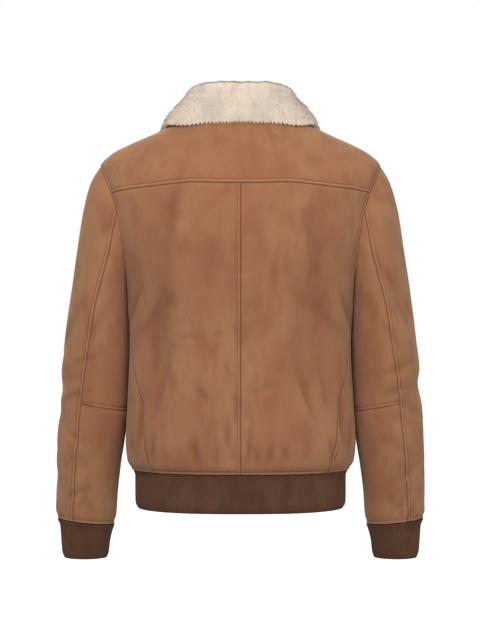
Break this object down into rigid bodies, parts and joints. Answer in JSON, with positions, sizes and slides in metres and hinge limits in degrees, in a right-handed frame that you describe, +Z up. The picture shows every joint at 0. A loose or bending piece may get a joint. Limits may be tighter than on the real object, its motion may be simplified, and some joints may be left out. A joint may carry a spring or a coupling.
{
  "type": "leather jacket",
  "caption": "Hollow worn suede blouson with a folded shearling collar, rib-knit cuffs and hem band, yoke and back seams and a front zip with a swinging pull tab.",
  "frame": {"origin": "on the neck's axis about level with the back neck seam, where the wearer's neck and shoulders hold the jacket up", "axes": "+Z up, +Y towards the back, +X towards the left sleeve"},
  "size_m": [0.6228, 0.2914, 0.7935],
  "materials": {
    "suede": "soft brushed nap",
    "rib_knit": "one-by-one rib",
    "shearling": "curled wool pile on the skin",
    "zip_tape": "woven twill tape",
    "zip_metal": "antique, satin"
  },
  "bodies": {
    "garment": {"back_yoke": "suede", "back_left": "suede", "back_right": "suede", "front_left": "suede", "front_right": "suede", "top_sleeve_left": "suede", "top_sleeve_right": "suede", "under_sleeve_upper_left": "suede", "under_sleeve_upper_right": "suede", "under_sleeve_lower_left": "suede", "under_sleeve_lower_right": "suede", "cuff_rib_left": "rib_knit", "cuff_rib_right": "rib_knit", "hem_rib": "rib_knit", "shearling_collar": "shearling", "zip_tape_left": "zip_tape", "zip_tape_right": "zip_tape", "zip_slider": "zip_metal", "zip_box": "zip_metal"},
    "pull_tab": {"zip_pull": "zip_metal"}
  },
  "joints": [
    {"name": "pull_tab_hinge", "type": "hinge", "parent": "garment", "child": "pull_tab", "pos_m": [0, -0.09739, -0.08945], "axis": [-1, 0, 0], "range_deg": [0, 170]}
  ]
}
